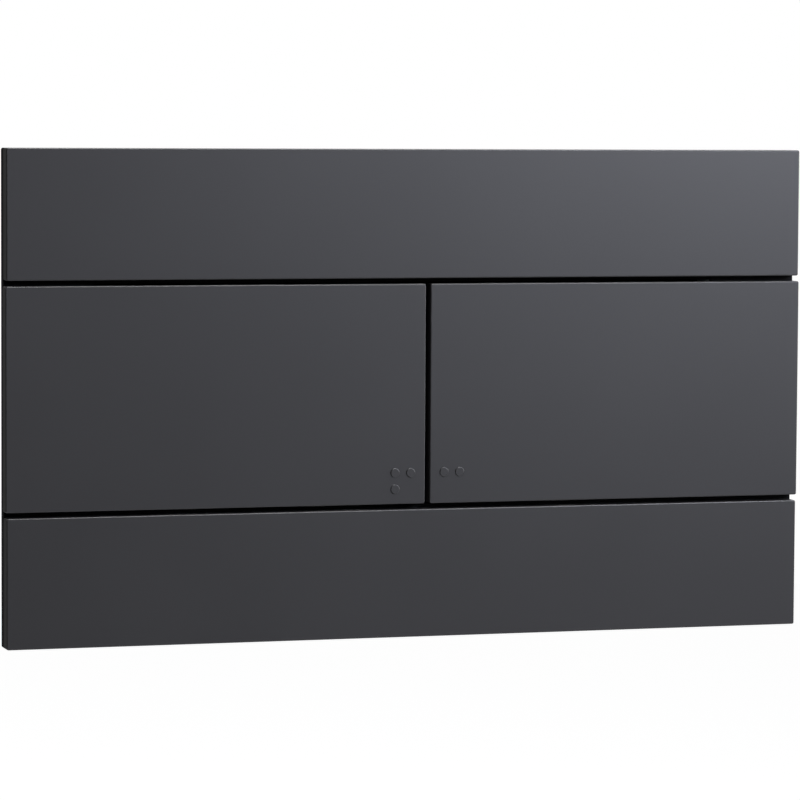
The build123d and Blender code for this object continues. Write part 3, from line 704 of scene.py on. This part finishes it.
class FLUSHPLATE_OT_screws(Operator):
    """Makes the small screws of the panels and the buttons"""

    bl_idname = "flushplate.screws"
    bl_label = "Screws"

    def execute(self, context):
        tree = screw_tree()
        groups = [("panel_screws", "plate", ["top_panel_screws", "bottom_panel_screws"])]
        groups += [(f"{side}_cap_screws", f"{side}_key", [f"{side}_button_screws"]) for side in SIDES]
        for name, body, nodes in groups:
            boxes = [box for node in nodes for box in solids_of(node)]
            master = screw_master(nodes[0], *boxes[0], context.scene.plate_sizes)
            screws = points_piece(name, [((a.x + b.x) / 2, 0, (a.z + b.z) / 2) for a, b in boxes])
            grow(screws, tree, {"Screw": master, "Material": material_for("steel")})
            bpy.data.objects.remove(master)
            shade_smooth(screws)
            seat(screws, body, "steel", *nodes)
        return {"FINISHED"}


def add_floor(settings):
    """A pale floor with the object's shadow, white to the camera where the lamps fade, clear from below."""
    drop = -settings.floor_drop
    corners = [(x * FLOOR_REACH, y * FLOOR_REACH, drop) for x, y in ((-1, -1), (1, -1), (1, 1), (-1, 1))]
    mesh = bpy.data.meshes.new("floor")
    mesh.from_pydata(corners, [], [range(len(corners))])
    floor = new_piece("floor", mesh)
    material = bpy.data.materials.new("Pale floor")
    material.use_nodes = True
    tree = material.node_tree
    tree.nodes.clear()
    matt = add_node(tree, "ShaderNodeBsdfDiffuse", {"Color": (*settings.floor, 1)})
    seen = add_node(tree, "ShaderNodeLightPath").outputs["Is Camera Ray"]
    place = add_node(tree, "ShaderNodeTexCoord").outputs["Object"]
    away = add_node(tree, "ShaderNodeVectorMath", {0: place}, operation="LENGTH").outputs["Value"]
    ramp = {"Value": away, "From Min": GLOW_BEGINS, "From Max": GLOW_WHOLE, "To Max": settings.floor_glow}
    far = add_node(tree, "ShaderNodeMapRange", ramp)
    white = add_node(tree, "ShaderNodeMath", {0: seen, 1: far}, operation="MULTIPLY")
    glow = add_node(tree, "ShaderNodeEmission", {"Strength": white})
    lit = add_node(tree, "ShaderNodeAddShader", {0: matt, 1: glow})
    clear = add_node(tree, "ShaderNodeBsdfTransparent")
    below = add_node(tree, "ShaderNodeNewGeometry").outputs["Backfacing"]
    both = add_node(tree, "ShaderNodeMixShader", {0: below, 1: lit, 2: clear})
    add_node(tree, "ShaderNodeOutputMaterial", {"Surface": both})
    coat(floor, material)


def add_world(settings):
    """White to the camera, a dim room in front of the plate and a lighter backdrop that shines above it."""
    world = bpy.data.worlds.new("Studio")
    bpy.context.scene.world = world
    world.use_nodes = True
    tree = world.node_tree
    tree.nodes.clear()
    ray = add_node(tree, "ShaderNodeLightPath").outputs
    way = add_node(tree, "ShaderNodeTexCoord").outputs["Generated"]
    axes = add_node(tree, "ShaderNodeSeparateXYZ", {0: way}).outputs
    ramp = {"Value": axes["Y"], "From Min": BACKDROP_BEGINS, "From Max": BACKDROP_WHOLE}
    behind = add_node(tree, "ShaderNodeMapRange", ramp)
    ramp = {"Value": axes["Z"], "From Min": BRIGHT_BEGINS, "From Max": BRIGHT_WHOLE}
    above = add_node(tree, "ShaderNodeMapRange", ramp)
    bright = add_node(tree, "ShaderNodeMath", {0: behind, 1: above}, operation="MULTIPLY")
    mirrored = add_node(tree, "ShaderNodeMath", {0: ray["Is Glossy Ray"], 1: bright}, operation="MULTIPLY")
    views = {0: ray["Is Camera Ray"], 1: ray["Is Transmission Ray"]}
    seen = add_node(tree, "ShaderNodeMath", views, operation="MAXIMUM")
    white = add_node(tree, "ShaderNodeMath", {0: seen, 1: mirrored}, operation="MAXIMUM")
    ramp = {"Value": behind, "To Min": settings.room, "To Max": settings.backdrop}
    dim = add_node(tree, "ShaderNodeMapRange", ramp)
    room = add_node(tree, "ShaderNodeBackground", {"Color": (1, 1, 1, 1), "Strength": dim})
    plain = add_node(tree, "ShaderNodeBackground", {"Color": (1, 1, 1, 1), "Strength": 1.0})
    both = add_node(tree, "ShaderNodeMixShader", {0: white, 1: room, 2: plain})
    add_node(tree, "ShaderNodeOutputWorld", {"Surface": both})


def add_softbox(name, azimuth, elevation, distance, width, height, watts):
    """A lamp with a flat face that points at the plate."""
    light = bpy.data.lights.new(f"{name} softbox", "AREA")
    light.shape = "RECTANGLE"
    light.size = width
    light.size_y = height
    light.energy = watts
    lamp = bpy.data.objects.new(light.name, light)
    turn, rise = radians(azimuth), radians(elevation)
    way = Vector((sin(turn) * cos(rise), -cos(turn) * cos(rise), sin(rise)))
    lamp.location = way * distance
    lamp.rotation_mode = "QUATERNION"
    lamp.rotation_quaternion = (-way).to_track_quat("-Z", "Y")
    lamp.visible_camera = False
    bpy.context.scene.collection.objects.link(lamp)
    return light


def add_camera():
    """The camera that saw the photograph, from the plate's turn and place before it."""
    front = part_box("top_panel")[0].y
    # The plate's axes become the picture's (right, down, away), and those the camera's (right, up, back).
    turn = Matrix.Rotation(radians(PLATE_ROLL), 3, "Z") @ Matrix.Rotation(radians(PLATE_PITCH), 3, "X")
    turn @= Matrix.Rotation(radians(PLATE_YAW), 3, "Y")
    face = Matrix(((1, 0, 0), (0, 0, -1), (0, 1, 0)))
    seen = turn @ face
    flip = Matrix(((1, 0, 0), (0, -1, 0), (0, 0, -1)))
    camera = bpy.data.objects.new("Camera", bpy.data.cameras.new("Camera"))
    camera.data.sensor_width = SENSOR_MM
    camera.data.lens = FOCAL_PIXELS / IMAGE_SIDE * SENSOR_MM
    camera.rotation_mode = "QUATERNION"
    camera.rotation_quaternion = (flip @ seen).transposed().to_quaternion()
    camera.location = Vector((0, front, 0)) - seen.transposed() @ PLATE_PLACE
    bpy.context.scene.collection.objects.link(camera)
    bpy.context.scene.camera = camera


class FLUSHPLATE_OT_stage(Operator):
    """Sets up the floor, the white surroundings, the softboxes and the photograph's camera"""

    bl_idname = "flushplate.stage"
    bl_label = "Stage"

    def execute(self, context):
        settings = context.scene.plate_stage
        add_floor(settings)
        add_world(settings)
        lights = {name: add_softbox(name, *spot, getattr(settings, name)) for name, spot in SOFTBOXES.items()}
        lights["key"].color = settings.key_tint
        add_camera()
        context.scene.view_settings.view_transform = "Standard"
        return {"FINISHED"}


OPERATORS = (
    FLUSHPLATE_OT_facings,
    FLUSHPLATE_OT_mouldings,
    FLUSHPLATE_OT_hinges,
    FLUSHPLATE_OT_plungers,
    FLUSHPLATE_OT_springs,
    FLUSHPLATE_OT_fixings,
    FLUSHPLATE_OT_screws,
    FLUSHPLATE_OT_stage,
)
GROUPS = {"plate_sizes": PlateSizes, "plate_colours": PlateColours, "plate_stage": StageSettings}


class FLUSHPLATE_PT_pieces(Panel):
    """Lists the plate's pieces and its stage"""

    bl_idname = "FLUSHPLATE_PT_pieces"
    bl_label = "Flush plate"
    bl_space_type = "VIEW_3D"
    bl_region_type = "UI"
    bl_category = "Flush plate"

    def draw(self, context):
        for operator in OPERATORS:
            self.layout.operator(operator.bl_idname)
        for group in GROUPS:
            settings = getattr(context.scene, group)
            for name in settings.__annotations__:
                self.layout.prop(settings, name)


def register():
    """Adds the classes, and their settings on the scene."""
    for cls in (*GROUPS.values(), *OPERATORS, FLUSHPLATE_PT_pieces):
        bpy.utils.register_class(cls)
    for name, group in GROUPS.items():
        setattr(bpy.types.Scene, name, PointerProperty(type=group))


def unregister():
    """Takes the settings and the classes away again."""
    for name in GROUPS:
        delattr(bpy.types.Scene, name)
    for cls in (FLUSHPLATE_PT_pieces, *reversed(OPERATORS), *GROUPS.values()):
        bpy.utils.unregister_class(cls)


def main():
    """Makes every piece and the stage."""
    register()
    for operator in OPERATORS:
        group, name = operator.bl_idname.split(".")
        getattr(getattr(bpy.ops, group), name)()


if __name__ == "__main__":
    main()
